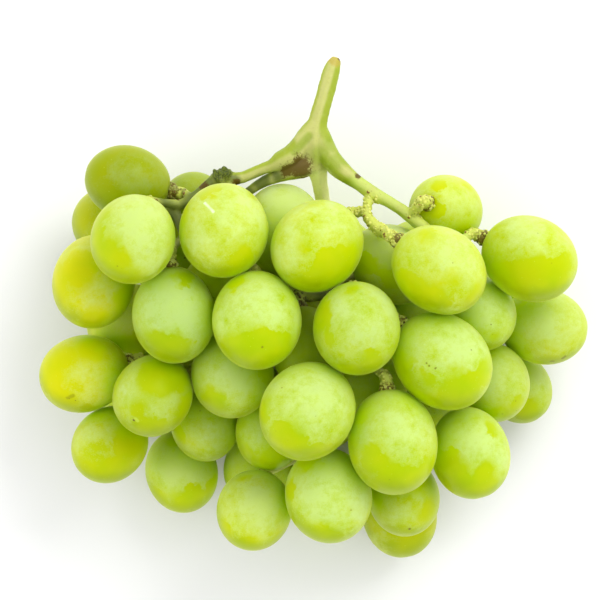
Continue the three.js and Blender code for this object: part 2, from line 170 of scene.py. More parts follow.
# Painted light: a pale colour for the shaded lower main stem
PAINTED_LIGHT_BARK = paint(250, 252, 180)
LIME_BARK = paint(192, 214, 98)
STALK_BARK = paint(206, 216, 92)
TAN_BARK = paint(184, 164, 70)
BROWN_BARK = paint(88, 62, 0)
BARK_SPECK = paint(112, 82, 30)
PALE_CORK = paint(222, 226, 116)
GREEN_CORK = paint(196, 202, 76)
GREY_AND_SHADE_CORK = paint(112, 114, 44)
BROWN_CORK = paint(120, 84, 30)

# Colours of the floor, in linear light
FLOOR_GREY = (0.91, 0.91, 0.925, 1)
FLOOR_WHITE = (0.94, 0.94, 0.955, 1)


class Look(NamedTuple):
    """How a grape looks from above, from 0 to 1 where it isn't said otherwise.

    A patch is given across, along and by its radius, all in radii of the grape.
    """

    bloom: float  # how much bloom it has kept, where more than 1 is thicker than most; on some grapes in shade it is raised to paint them lighter, as painted light
    yellow: float
    # how much the whole grape is darkened, as painted shade on grapes that lie deep or under
    # neighbours and on the most lit ones
    dark: float = 0
    rubbed: list = []  # patches where the bloom is rubbed off
    thick_and_highlit: list = []  # patches where it lies thick, and painted highlights on the lit upper side and painted pale rim lines


# The bloom and dark values below also paint light and shade on some grapes, and some thick patches
# are painted highlights and pale rim lines
GRAPES = {
    1: Look(
        bloom=0.3, yellow=0.45, dark=0.65,
        rubbed=[
            (-0.95, 0.35, 0.45), (-0.5, -0.35, 0.35), (0, 0.95, 0.3), (-0.6, 0.75, 0.35),
            (0.7, 0.75, 0.3),
        ],
        thick_and_highlit=[(0.15, 0.1, 0.45), (-0.8, -0.6, 0.25)],
    ),
    2: Look(
        bloom=0.85, yellow=0.25, dark=0.06,
        rubbed=[(-0.95, 0.05, 0.6), (-0.6, -0.5, 0.55), (-0.15, -0.95, 0.4), (-0.65, 0.55, 0.25)],
        thick_and_highlit=[(0.35, 0.3, 0.6), (0.45, -0.55, 0.4)],
    ),
    3: Look(
        bloom=0.65, yellow=0.3,
        rubbed=[(-0.92, 0.35, 0.3), (0.42, -0.65, 0.36), (0.1, -0.95, 0.3), (-0.3, 0.92, 0.3)],
        thick_and_highlit=[(-0.5, -0.35, 0.4), (0.75, 0.35, 0.28), (0.5, 0.7, 0.2), (0.1, 0.3, 0.3)],
    ),
    4: Look(
        bloom=0.25, yellow=0.6, dark=0.35,
        rubbed=[(-0.9, 0.2, 0.4)],
        thick_and_highlit=[(-0.7, -0.55, 0.3)],
    ),
    5: Look(bloom=0.3, yellow=0.25, dark=0.6),
    6: Look(
        bloom=0.45, yellow=0.75, dark=0.04,
        rubbed=[(-0.9, -0.1, 0.5), (-0.35, 0.3, 0.45), (0.8, -0.4, 0.35), (0, -0.9, 0.3)],
        thick_and_highlit=[(0.15, -0.2, 0.28), (0.5, -0.3, 0.22), (-0.1, -0.6, 0.2), (-0.1, 0.85, 0.35)],
    ),
    7: Look(
        bloom=1, yellow=0, dark=0.18,
        rubbed=[(-0.05, -0.84, 0.44), (0.97, 0, 0.25), (-0.48, -0.65, 0.25), (0.3, 0.95, 0.28)],
        thick_and_highlit=[(0, 0.2, 0.7)],
    ),
    8: Look(
        bloom=1, yellow=0.8,
        rubbed=[(0.2, -0.6, 0.4)],
        thick_and_highlit=[(-0.55, -0.45, 0.35), (-0.1, -0.15, 0.35)],
    ),
    9: Look(bloom=0.2, yellow=0.2, dark=0.1),
    10: Look(
        bloom=0.35, yellow=0.75,
        rubbed=[(-0.5, -0.65, 0.3), (0.2, 0.65, 0.4), (-0.9, 0, 0.45), (-0.55, 0.45, 0.4)],
        thick_and_highlit=[(0.4, -0.4, 0.45), (0.1, 0.05, 0.3)],
    ),
    11: Look(
        bloom=0.55, yellow=0.25, dark=0.2,
        rubbed=[
            (0.15, 0.5, 0.55), (0.65, 0.45, 0.4), (-0.35, -0.3, 0.22), (0.88, -0.35, 0.45),
            (-0.1, -0.82, 0.4), (-0.85, 0.5, 0.3),
        ],
        thick_and_highlit=[(-0.6, 0.1, 0.35), (0.3, -0.35, 0.3), (0.62, -0.05, 0.22)],
    ),
    12: Look(
        bloom=0.25, yellow=0.4, dark=0.12,
        rubbed=[(0.6, 0.1, 0.5), (0.1, -0.75, 0.5), (-0.6, -0.65, 0.3)],
        thick_and_highlit=[(-0.65, 0.2, 0.4), (0.1, 0.35, 0.25)],
    ),
    13: Look(
        bloom=1.2, yellow=0.3,
        rubbed=[(0.2, -0.85, 0.52), (0.85, -0.5, 0.35), (-0.65, -0.7, 0.4), (-0.1, 0.9, 0.3)],
        thick_and_highlit=[(-0.3, 0.1, 0.4), (0.2, 0.5, 0.4)],
    ),
    14: Look(
        bloom=0.6, yellow=0.2, dark=0.2,
        rubbed=[(-0.8, -0.3, 0.3)],
        thick_and_highlit=[(0.4, -0.4, 0.5)],
    ),
    15: Look(
        bloom=0.65, yellow=0.1,
        rubbed=[(0, -0.75, 0.6), (0.5, -0.62, 0.42), (-0.45, -0.7, 0.42), (-0.5, 0.86, 0.22)],
        thick_and_highlit=[
            (0.3, 0.35, 0.45), (-0.78, -0.1, 0.27), (0.1, 0, 0.3), (0.9, 0.15, 0.22),
            (0.9, -0.2, 0.2),
        ],
    ),
    16: Look(
        bloom=0.5, yellow=0.28,
        rubbed=[(0.35, -0.6, 0.6), (-0.1, -0.88, 0.45), (-0.22, -0.05, 0.15), (0.75, -0.2, 0.3)],
        thick_and_highlit=[(-0.65, -0.15, 0.35), (0.3, 0.7, 0.4)],
    ),
    17: Look(
        bloom=1.2, yellow=0.3,
        rubbed=[(-0.8, 0.5, 0.3)],
        thick_and_highlit=[(0, 0.6, 0.5)],
    ),
    18: Look(
        bloom=0.7, yellow=0.15, dark=0.14,
        rubbed=[
            (-0.85, 0.2, 0.35), (-0.6, -0.25, 0.2), (-0.88, 0.5, 0.3), (-0.1, 0.9, 0.22),
            (0.3, -0.78, 0.32), (-0.15, -0.95, 0.28), (0.92, -0.4, 0.25),
        ],
        thick_and_highlit=[(0.3, 0, 0.4), (-0.3, 0.45, 0.3), (0.7, 0.55, 0.25)],
    ),
    19: Look(
        bloom=0.9, yellow=0.15, dark=0.08,
        rubbed=[(-0.44, -0.66, 0.34), (0.85, 0.1, 0.45), (0.7, -0.7, 0.25), (0, 0.9, 0.3)],
        thick_and_highlit=[(0, -0.1, 0.5)],
    ),
    20: Look(
        bloom=0.8, yellow=0.15, dark=0.04,
        rubbed=[(-0.42, -0.68, 0.5), (0.1, -0.95, 0.45), (0.55, -0.8, 0.25), (-0.95, 0, 0.3)],
        thick_and_highlit=[(0.2, 0.3, 0.55), (0.2, -0.4, 0.25)],
    ),
    21: Look(
        bloom=0.55, yellow=0.1, dark=0.12,
        rubbed=[(0.2, -0.75, 0.5), (-0.2, 0.9, 0.3), (-0.65, -0.6, 0.3)],
        thick_and_highlit=[(-0.4, -0.1, 0.4)],
    ),
    22: Look(bloom=0.35, yellow=0, dark=0.34),
    23: Look(bloom=0.7, yellow=0.1, dark=0.1),
    24: Look(
        bloom=0.65, yellow=0.35,
        rubbed=[
            (-0.3, 0.85, 0.22), (-0.6, -0.5, 0.5), (-0.1, -0.66, 0.38), (0.35, -0.32, 0.2),
            (0.82, -0.62, 0.28),
        ],
        thick_and_highlit=[(0.2, -0.9, 0.22), (0.5, 0.3, 0.5), (0.62, -0.35, 0.18)],
    ),
    25: Look(
        bloom=0.5, yellow=0.35,
        rubbed=[(-0.5, 0.05, 0.36), (-0.2, 0.7, 0.2), (0.6, 0.72, 0.14), (0.5, -0.75, 0.5)],
        thick_and_highlit=[(0.5, 0.2, 0.4), (0, 0.45, 0.2)],
    ),
    26: Look(
        bloom=0.5, yellow=0.3,
        rubbed=[(0, -0.55, 0.62), (0.5, -0.5, 0.5), (-0.5, -0.45, 0.45), (0.8, -0.15, 0.3)],
        thick_and_highlit=[(-0.1, 0.6, 0.5)],
    ),
    27: Look(
        bloom=1.4, yellow=0.4,
        rubbed=[(0, -0.4, 0.35), (-0.8, 0, 0.3)],
        thick_and_highlit=[(0.2, 0.6, 0.4)],
    ),
    28: Look(
        bloom=0.8, yellow=0.3, dark=0.08,
        rubbed=[(0.2, -0.95, 0.35), (-0.7, 0.6, 0.3)],
        thick_and_highlit=[(-0.3, 0.1, 0.5)],
    ),
    29: Look(
        bloom=0.85, yellow=0.1, dark=0.07,
        rubbed=[(0.42, -0.65, 0.15), (-0.5, 0.8, 0.4), (0.1, -0.95, 0.25)],
        thick_and_highlit=[(0.1, 0.1, 0.5)],
    ),
    30: Look(bloom=1.2, yellow=0.3),
    31: Look(
        bloom=0.75, yellow=0.1,
        rubbed=[
            (-0.92, -0.25, 0.45), (-0.3, -0.45, 0.22), (0.35, -0.72, 0.52), (-0.35, -0.9, 0.4),
            (0.92, -0.25, 0.3),
        ],
        thick_and_highlit=[(0.45, 0.35, 0.5), (-0.08, -0.72, 0.18), (0.85, 0.25, 0.2)],
    ),
    32: Look(
        bloom=0.8, yellow=0.25, dark=0.2,
        rubbed=[(0.62, -0.6, 0.28), (0.15, -0.92, 0.35)],
        thick_and_highlit=[(0, 0.2, 0.5)],
    ),
    33: Look(
        bloom=0.8, yellow=0.25, dark=0.25,
        rubbed=[(0.4, -0.75, 0.4), (0.1, -0.5, 0.25)],
        thick_and_highlit=[(0.85, 0.2, 0.3), (0.5, 0.5, 0.4)],
    ),
    34: Look(
        bloom=0.8, yellow=0.15,
        rubbed=[
            (0.55, 0.65, 0.22), (-0.52, -0.55, 0.6), (0.15, -0.92, 0.55), (-0.95, 0.2, 0.35),
            (0.35, -0.5, 0.32),
        ],
        thick_and_highlit=[(0.2, 0.4, 0.5), (0.75, -0.1, 0.3)],
    ),
    35: Look(
        bloom=0.65, yellow=0.15,
        rubbed=[
            (-0.44, -0.42, 0.34), (0.1, -0.92, 0.55), (-0.7, 0.6, 0.2), (0.7, -0.68, 0.38),
            (-0.92, -0.15, 0.25),
        ],
        thick_and_highlit=[(-0.6, 0.1, 0.2), (0.2, 0.3, 0.4)],
    ),
    36: Look(
        bloom=1, yellow=0.15,
        rubbed=[(-0.9, 0.1, 0.22), (-0.1, -0.95, 0.42), (-0.5, 0.85, 0.35), (-0.5, -0.75, 0.25)],
        thick_and_highlit=[(0, 0.4, 0.4), (-0.2, -0.4, 0.4), (0.75, -0.2, 0.2)],
    ),
    37: Look(
        bloom=0.4, yellow=0.3, dark=0.16,
        rubbed=[(0.2, 0.6, 0.5), (-0.85, -0.2, 0.3), (0.7, -0.4, 0.3)],
        thick_and_highlit=[(-0.2, -0.45, 0.45), (0.45, 0.1, 0.25)],
    ),
    38: Look(
        bloom=0.02, yellow=0.5, dark=0.22,
        rubbed=[(0.3, -0.8, 0.35), (0, 0.3, 0.5)],
        thick_and_highlit=[(-0.5, -0.7, 0.3)],
    ),
    39: Look(
        bloom=0.9, yellow=0.35,
        rubbed=[
            (-0.82, -0.5, 0.36), (-0.2, -0.95, 0.42), (0.62, -0.78, 0.4), (0.92, 0.2, 0.3),
            (-0.35, 0.85, 0.2),
        ],
        thick_and_highlit=[(0.1, 0.1, 0.5)],
    ),
    40: Look(
        bloom=0.85, yellow=0.3,
        rubbed=[(-0.3, 0.8, 0.3)],
    ),
}
# Grapes out of sight underneath, darkened a little as painted shade
UNDERSIDE_LOOK = Look(bloom=0.6, yellow=0.25, dark=0.05)

# Small marks on the skin: the grape, the mark's colour, its radius in millimetres, then where it
# starts and ends, across and along in radii of the grape.
SKIN_MARKS = [
    (3, "scratch", 0.6, (-0.41, 0.59), (-0.22, 0.39)),
    (31, "dark", 0.4, (-0.36, -0.05), (-0.36, -0.05)),
    (31, "dark", 0.35, (-0.3, -0.11), (-0.3, -0.11)),
    (31, "dark", 0.35, (-0.17, -0.17), (-0.15, -0.15)),
    (15, "dark", 0.5, (0.13, -0.6), (0.13, -0.6)),
    (10, "faint", 0.7, (-0.42, -0.62), (-0.27, -0.56)),
    (28, "dark", 0.7, (0.5, -0.82), (0.56, -0.77)),
    (28, "dark", 0.6, (0.2, -0.9), (0.25, -0.9)),
    (11, "pale", 0.7, (-0.42, -0.6), (-0.38, -0.64)),
    (24, "dark", 0.32, (0.3, 0.15), (0.3, 0.15)),
    (20, "dark", 0.32, (-0.55, 0.5), (-0.55, 0.5)),
    (16, "dark", 0.32, (-0.3, -0.2), (-0.3, -0.2)),
]

# Places where the stem looks different: across, along, up and radius in millimetres.
BROWN_PLACES = [
    (6.7, 62.6, 35.6, 1.2),
    (-19.5, 31.4, 37, 1.9),
    (-27.6, 30.7, 37, 2.2),
    (11.1, 33.2, 40, 1.4),
    (-3.4, 35.2, 37, 5.3),
    (-6.6, 34.8, 36.5, 3.4),
]
TAN_PLACES = [(5.6, 63.2, 35, 4.2)]
# Grey-green bark at the nodule and collar, and painted shade on the fork and on the main stem under
# the grapes
GREY_AND_SHADE_PLACES = [
    (-23, 33.4, 36, 4),
    (-20, 32, 36, 2.5),
    # Painted shade: the fork, which lies in shadow
    (-9, 33.2, 34, 2.4),
    (-13, 31.7, 33, 3.4),
    (-17, 28.5, 32, 3.4),
    (-27, 31, 36, 4),
    (-31, 28, 36.5, 6),
    (-35, 27, 35, 8),
    (-33, 22, 33, 8),
    # Painted shade: the main stem in the crevice under the grapes
    (0, 3.5, 28, 9),
]
GREEN_GROOVE = [(-1.2 - 0.46 * step, 43.2 - 0.5 * step, 38.5, 1.6) for step in range(9)]
FRESH_PLACES = GREEN_GROOVE + [
    (1.8, 38.4, 39, 4),
    (5, 36.6, 39.5, 3.8),
    (4.4, 41, 38.5, 3.4),
    (7, 37.6, 38.5, 3.4),
    (9, 31.6, 38.5, 2.8),
]
LIME_PLACES = [
    (12, 31.5, 40, 4),
    (18, 27, 41, 6),
    (25, 23, 42, 6),
    (32, 19.5, 42, 6),
    (37, 17, 42, 6),
]
# Painted light: the lower main stem, which lies in the grapes' shade
PAINTED_LIGHT_PLACES = [(1.6, 30, 30, 7), (2.4, 26, 27, 5)]
WARTY_PLACES = [(13.2, 26, 41.4, 5), (13.1, 23.5, 42, 5), (15.2, 20.7, 44.2, 5)]
FULL_PLACES = [(4, 55, 35, 9), (5.5, 43.5, 37, 5), (-2, 43.5, 37, 4)]
KNOTS = [(-23, 33.6, 36, 3.2)]


# ---- Shader building ----


class Number:
    """A number that varies over a surface, as the output of a node, with Python's arithmetic."""

    def __init__(self, tree, socket):
        self.tree = tree
        self.socket = socket

    def math(self, operation, *values):
        inputs = dict(enumerate(values))
        made = self.tree.node("ShaderNodeMath", {"operation": operation}, inputs)
        return Number(self.tree, made.outputs[0])

    def __add__(self, other):
        return self.math("ADD", self, other)

    def __radd__(self, other):
        return self.math("ADD", other, self)

    def __sub__(self, other):
        return self.math("SUBTRACT", self, other)

    def __rsub__(self, other):
        return self.math("SUBTRACT", other, self)

    def __mul__(self, other):
        return self.math("MULTIPLY", self, other)

    def __rmul__(self, other):
        return self.math("MULTIPLY", other, self)

    def within(self, low, high):
        raised = self.math("MAXIMUM", self, low)
        return self.math("MINIMUM", raised, high)

    def rise(self, low, high):
        """0 below low, 1 above high, and smooth between them."""
        settings = {"interpolation_type": "SMOOTHSTEP"}
        inputs = {"Value": self, "From Min": low, "From Max": high}
        made = self.tree.node("ShaderNodeMapRange", settings, inputs)
        return Number(self.tree, made.outputs[0])

    def fall(self, low, high):
        """1 below low, 0 above high, and smooth between them."""
        return 1 - self.rise(low, high)


class Tree:
    """A tree of nodes. Settings are set before the values and links of the sockets."""

    def __init__(self, nodes):
        self.nodes = nodes
        self.nodes.nodes.clear()

    def node(self, kind, settings=None, inputs=None):
        made = self.nodes.nodes.new(kind)
        for name, value in (settings or {}).items():
            setattr(made, name, value)
        for name, value in (inputs or {}).items():
            source = getattr(value, "socket", value)
            if isinstance(source, bpy.types.NodeSocket):
                self.nodes.links.new(source, made.inputs[name])
            else:
                made.inputs[name].default_value = source
        return made


class Finish(Tree):
    """A material and the nodes that make it."""

    def __init__(self, name):
        self.material = bpy.data.materials.new(name)
        self.material.use_nodes = True
        super().__init__(self.material.node_tree)

    def place(self):
        return self.node("ShaderNodeTexCoord").outputs["Object"]

    def carried(self, name):
        """What the mesh carries at its points under that name."""
        return self.node("ShaderNodeAttribute", {"attribute_name": name}).outputs

    def measure(self, name):
        return Number(self, self.carried(name)["Fac"])

    def cloud(self, size, detail=2, place=None):
        """Noise with features of that size in metres, from -0.5 to 0.5."""
        inputs = {"Vector": place or self.place(), "Scale": 1 / size, "Detail": detail}
        made = self.node("ShaderNodeTexNoise", None, inputs)
        return Number(self, made.outputs["Fac"]) - 0.5

    def dots(self, size):
        """Distance to the nearest of many scattered points, in their spacing."""
        inputs = {"Vector": self.place(), "Scale": 1 / size}
        return Number(self, self.node("ShaderNodeTexVoronoi", None, inputs).outputs["Distance"])

    def vector(self, operation, first, second):
        inputs = {0: first, ("Scale" if operation == "SCALE" else 1): second}
        return self.node("ShaderNodeVectorMath", {"operation": operation}, inputs).outputs

    def far_from(self, start, end):
        """Distance in metres from the straight line between two points."""
        away = self.vector("SUBTRACT", self.place(), start)["Vector"]
        span = Vector(end) - Vector(start)
        if span.length == 0:
            return Number(self, self.vector("DISTANCE", away, (0, 0, 0))["Value"])
        share = self.vector("DOT_PRODUCT", away, span / span.length_squared)["Value"]
        nearest = self.vector("SCALE", span, Number(self, share).within(0, 1))["Vector"]
        return Number(self, self.vector("DISTANCE", away, nearest)["Value"])

    def blend(self, mask, first, second):
        """The first colour where the mask is 0, the second where it is 1."""
        settings = {"data_type": "RGBA"}
        made = self.node("ShaderNodeMix", settings, {0: mask, 6: first, 7: second})
        return made.outputs[2]

    def relief(self, height, depth):
        inputs = {"Height": height, "Distance": depth, "Strength": 1}
        return self.node("ShaderNodeBump", None, inputs).outputs["Normal"]

    def finished(self, inputs):
        shader = self.node("ShaderNodeBsdfPrincipled", None, inputs)
        surface = {"Surface": shader.outputs["BSDF"]}
        self.node("ShaderNodeOutputMaterial", None, surface)
        return self.material


# ---- Finishes ----


def grape_skin(marks):
    """marks are lines on the skin: their colour, radius, start and end."""
    skin = Finish("grape_skin")
    yellow = skin.measure("yellow")
    bloom_highlight_side = skin.measure("bloom_highlight_side")
    drift = skin.cloud(7 * MM, 2)
    smear = skin.cloud(3 * MM, 4)
    fleck = skin.cloud(1.2 * MM, 3)
    powder = skin.cloud(0.35 * MM, 2)

    # How much bloom lies on the skin, most of it on the side towards the key light, partly as a
    # painted highlight
    softness = 0.03 + skin.cloud(6 * MM, 1).rise(-0.12, 0.12) * 0.14
    edge = skin.measure("rubbed") + drift * 0.5 + smear * 0.6 + fleck * 0.2
    rubbed = edge.rise(0 - softness, softness)
    # Where neighbours touch or cover the skin, the bloom is rubbed off at the touches and also
    # thinned there as painted shade
    shelter_shade = (skin.measure("shelter_shade") + smear * 0.5).rise(0.05, 0.8)
    # Thick bloom patches, and painted highlights and rim lines laid as patches
    thick_and_highlit = (skin.measure("thick_and_highlit") + drift * 0.5 + smear * 0.5).rise(-0.2, 0.25)
    # Bloom thickest on the side towards the key light: real bloom and a painted highlight
    haze = skin.measure("bloom") * (0.04 + bloom_highlight_side * 0.72) + thick_and_highlit * 0.32
    haze = haze + drift * 0.8 + smear * 1.05 + fleck * 0.8 + powder * 0.7
    bloom = haze.within(0.02, 1) * (1 - rubbed * 0.98) * (1 - shelter_shade * 0.6)

    # The ripe skin and the bloom over it, with painted shade on the lower side and under
    # neighbours, painted light where neighbours cover it, and each grape's painted darkening
    ripe = skin.blend((yellow + drift * 0.8).within(0, 1), GREEN_SKIN, GOLDEN_SKIN)
    # Painted shade: darker towards the lower side of each grape, away from the light
    lower = (bloom_highlight_side + drift * 0.4).fall(0.05, 0.6) * 0.7
    ripe = skin.blend(lower, ripe, PAINTED_LOWER_SHADE_SKIN)
    milky = skin.blend(yellow, GREEN_BLOOM, GOLDEN_BLOOM)
    # Painted light: the covered skin lightened, as if lit through the neighbouring grapes
    ripe = skin.blend(shelter_shade, ripe, PAINTED_GLOW_SKIN)
    colour = skin.blend(bloom, ripe, milky)
    # Painted shade: each grape darkened as a whole by its dark value
    colour = skin.blend(skin.measure("dark") * 0.8, colour, PAINTED_SHADE_SKIN)

    # Dots, scars and marks
    pale_dots = skin.dots(1.7 * MM).fall(0.05, 0.13) * 0.2
    colour = skin.blend(pale_dots, colour, PALE_DOT)
    scarce = skin.cloud(8 * MM, 1).rise(0.06, 0.2)
    specks = skin.dots(2.6 * MM).fall(0.04, 0.1) * scarce * 0.7
    colour = skin.blend(specks, colour, SKIN_SPECK)
    colour = skin.blend(skin.measure("scar").rise(0.4, 0.9), colour, SCAR_BROWN)
    for tone, radius, start, end in marks:
        far = skin.far_from(start, end) + fleck * 0.4 * MM
        colour = skin.blend(far.fall(radius * 0.4, radius) * 0.75, colour, MARK_COLOURS[tone])

    return skin.finished({
        "Base Color": colour,
        "Roughness": 0.36 + bloom * 0.2 + fleck * 0.12,
        "IOR": 1.42,
        "Specular IOR Level": 0.3,
        "Specular Tint": (0.9, 1, 0.1, 1),
        "Coat Weight": 0.05,
        "Coat Roughness": 0.25,
        "Coat IOR": 1.4,
        "Sheen Weight": 0.55,
        "Sheen Roughness": 0.19,
        "Sheen Tint": (0.95, 1, 0.22, 1),
        "Subsurface Weight": 1,
        "Subsurface Radius": (1, 0.95, 0.12),
        "Subsurface Scale": 12 * MM,
        "Normal": skin.relief(fleck * 0.5 + powder * 0.5, 0.03 * MM),
    })


def stem_bark():
    bark = Finish("stem_bark")
    grain = bark.carried("grain")["Vector"]
    stalk = bark.measure("stalk")
    side = bark.measure("side")
    streak = bark.cloud(2.6 * MM, 2, grain)
    fibre = bark.cloud(0.7 * MM, 3, grain)
    mottle = bark.cloud(1.6 * MM, 4)
    speckle = bark.cloud(0.4 * MM, 3)

    # Green bark, paler along the top of each branch
    ridge = side + 0.2 + streak * 0.5
    pale = (ridge * ridge).fall(0, 0.45) * bark.measure("top").rise(0, 0.7)
    pale = (pale + fibre * 0.4 + mottle * 0.3).within(0, 1)
    colour = bark.blend(pale * 0.8, BARK, PALE_BARK)
    green = (side + streak * 0.5 + fibre * 0.3).rise(0.15, 0.9)
    fresh = (bark.measure("fresh") + mottle * 0.3).rise(0.05, 0.7)
    green = (green * 0.6 + fresh * 0.7).within(0, 1)
    colour = bark.blend(green, colour, GREEN_BARK)

    # Places where it has turned, and places of painted shade and painted light
    # Grey-green turned bark, and painted shade on the fork and the main stem under the grapes
    grey_and_shade = (bark.measure("grey_and_shade") + mottle * 0.5).rise(0.05, 0.6)
    colour = bark.blend(grey_and_shade * 0.8, colour, GREY_AND_SHADE_BARK)
    knot = (bark.measure("knot") + mottle * 0.6).rise(0.1, 0.8)
    knot_colour = bark.blend(speckle.rise(-0.1, 0.1), DARK_KNOT, GREEN_KNOT)
    colour = bark.blend(knot * 0.9, colour, knot_colour)
    # Painted light: the shaded lower main stem painted pale
    light = (bark.measure("light") + mottle * 0.3).rise(0, 0.5)
    colour = bark.blend(light, colour, PAINTED_LIGHT_BARK)
    lime = (bark.measure("lime") + mottle * 0.3).rise(0, 0.6)
    colour = bark.blend(lime * 0.55, colour, LIME_BARK)
    colour = bark.blend(stalk.rise(0.1, 0.6) * 0.85, colour, STALK_BARK)
    tan = (bark.measure("tan") + mottle * 0.3).rise(0.25, 0.5)
    colour = bark.blend(tan * 0.75, colour, TAN_BARK)
    brown = (bark.measure("brown") + mottle * 0.8 + speckle * 0.5).rise(0.25, 0.6)
    colour = bark.blend(brown * 0.9, colour, BROWN_BARK)
    specks = bark.dots(0.9 * MM).fall(0.1, 0.3) * (0.1 + stalk * 0.7)
    colour = bark.blend(specks, colour, BARK_SPECK)

    return bark.finished({
        "Base Color": colour,
        "Roughness": 0.5 + mottle * 0.2,
        "Subsurface Weight": 0.3,
        "Subsurface Radius": (1, 0.95, 0.3),
        "Subsurface Scale": 1.5 * MM,
        "Specular IOR Level": 0.25,
        "Normal": bark.relief(fibre * 0.6 + speckle * 0.4, 0.15 * MM),
    })


def wart_cork():
    cork = Finish("wart_cork")
    mottle = cork.cloud(1.1 * MM, 3)
    colour = cork.blend(mottle.rise(-0.1, 0.1), PALE_CORK, GREEN_CORK)
    # Greyer in the grey places, some of which are painted shade
    colour = cork.blend(cork.measure("grey_and_shade").rise(0.05, 0.5) * 0.75, colour, GREY_AND_SHADE_CORK)
    colour = cork.blend(mottle.rise(0.08, 0.18), colour, BROWN_CORK)
    return cork.finished({
        "Base Color": colour,
        "Roughness": 0.6,
        "Subsurface Weight": 0.3,
        "Subsurface Radius": (1, 0.95, 0.3),
        "Subsurface Scale": 1 * MM,
        "Normal": cork.relief(cork.cloud(0.2 * MM, 2), 0.05 * MM),
    })


def plain_floor():
    floor = Finish("pale_floor")
    colour = floor.blend(floor.cloud(0.4, 2).rise(-0.3, 0.3), FLOOR_GREY, FLOOR_WHITE)
    return floor.finished({"Base Color": colour, "Roughness": 0.8, "Specular IOR Level": 0.2})


# ---- Meshes ----


def add_object(name, data):
    added = bpy.data.objects.new(name, data)
    bpy.context.scene.collection.objects.link(added)
    return added


def rows_of(mesh, kind="co"):
    """The places or the normals of a mesh's points, one in each row."""
    flat = np.empty(3 * len(mesh.vertices))
    mesh.vertices.foreach_get(kind, flat)
    return flat.reshape(-1, 3)


def carry(mesh, measures):
    """Give a mesh each measure, which holds a number for each of its points."""
    for name, values in measures.items():
        mesh.attributes.new(name, "FLOAT", "POINT").data.foreach_set("value", values)


def settled(piece):
    """The piece's mesh with its modifiers applied and removed."""
    graph = bpy.context.evaluated_depsgraph_get()
    mesh = bpy.data.meshes.new_from_object(piece.evaluated_get(graph), depsgraph=graph)
    piece.modifiers.clear()
    return mesh


# ---- Reading the solids ----


def points_of(node):
    return np.unique(rows_of(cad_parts[node].data).round(7), axis=0)


def fit_spheroid(points):
    """The centre, long axis, radius and half length of the spheroid that most points lie on."""
    middle = points.mean(axis=0)
    unit = 100  # the sums are worked out in centimetres
    x, y, z = ((points - middle) * unit).T
    terms = np.column_stack((x * x, y * y, z * z, 2 * x * y, 2 * x * z, 2 * y * z, x, y, z))
    rounds, share, least_miss = 8, 0.8, 1e-4
    kept = np.full(len(points), True)
    for _ in range(rounds):
        fit = np.linalg.lstsq(terms[kept], np.ones(kept.sum()), rcond=None)[0]
        miss = np.abs(terms @ fit - 1)
        kept = miss <= max(np.quantile(miss, share), least_miss)
    a, b, c, d, e, f, *slope = fit
    form = np.array(((a, d, e), (d, b, f), (e, f, c)))
    centre = np.linalg.solve(form, slope) / -2
    spans, axes = np.linalg.eigh(form / (1 + centre @ form @ centre))
    half, first, second = 1 / np.sqrt(spans) / unit
    return middle + centre / unit, axes[:, 0], (first + second) / 2, half


class Grape:
    """One grape: its place, its axis from the stalk to the free end, and its size."""

    def __init__(self, number, stem_points):
        self.number = number
        self.node = f"berry_{number:02d}"
        self.centre, self.axis, self.radius, self.half = fit_spheroid(points_of(self.node))
        ends = [self.centre + sign * self.axis * self.half for sign in (1, -1)]
        room = [np.linalg.norm(stem_points - end, axis=1).min() for end in ends]
        if room[0] < room[1]:  # the stalk is at the end that is nearer the stem
            self.axis = -self.axis
        self.seat = self.centre - self.axis * self.half

    def spot(self, across, along):
        """The point of the upper skin at a place given from above, in radii, from the centre."""
        x, y = across * self.radius, along * self.radius
        slim = 1 / self.radius**2 - 1 / self.half**2
        level = x * self.axis[0] + y * self.axis[1]
        square = 1 / self.radius**2 - slim * self.axis[2] ** 2
        linear = -2 * slim * self.axis[2] * level
        rest = (x * x + y * y) / self.radius**2 - slim * level**2 - 1
        root = math.sqrt(max(0, linear**2 - 4 * square * rest))
        return np.array((x, y, (root - linear) / (2 * square)))

    def direction(self, across, along):
        """The same place on the ball that the grape is stretched from."""
        place = self.spot(across, along)
        place -= self.axis * (place @ self.axis) * (1 - self.radius / self.half)
        return place / np.linalg.norm(place)


# ---- Grapes ----


def patch_field(directions, patches):
    """How deep each direction lies inside the nearest patch, in radii. Outside it is negative."""
    field = np.full(len(directions), -1.0)
    for place, radius in patches:
        depth = radius - np.linalg.norm(directions - place, axis=1)
        field = np.maximum(field, depth)
    return field


def from_above(grape, patches):
    """Patches given across and along, laid on the upper side of the grape's ball."""
    return [(grape.direction(across, along), radius) for across, along, radius in patches]


def hidden_patches(draw, count):
    """Patches scattered over the lower side of a ball."""
    laid = []
    for _ in range(count):
        turn = draw.uniform(0, 2 * math.pi)
        drop = draw.uniform(*HIDDEN_DROP)
        level = math.sqrt(1 - drop**2)
        place = np.array((level * math.cos(turn), level * math.sin(turn), drop))
        laid.append((place, draw.uniform(*HIDDEN_RADIUS)))
    return laid


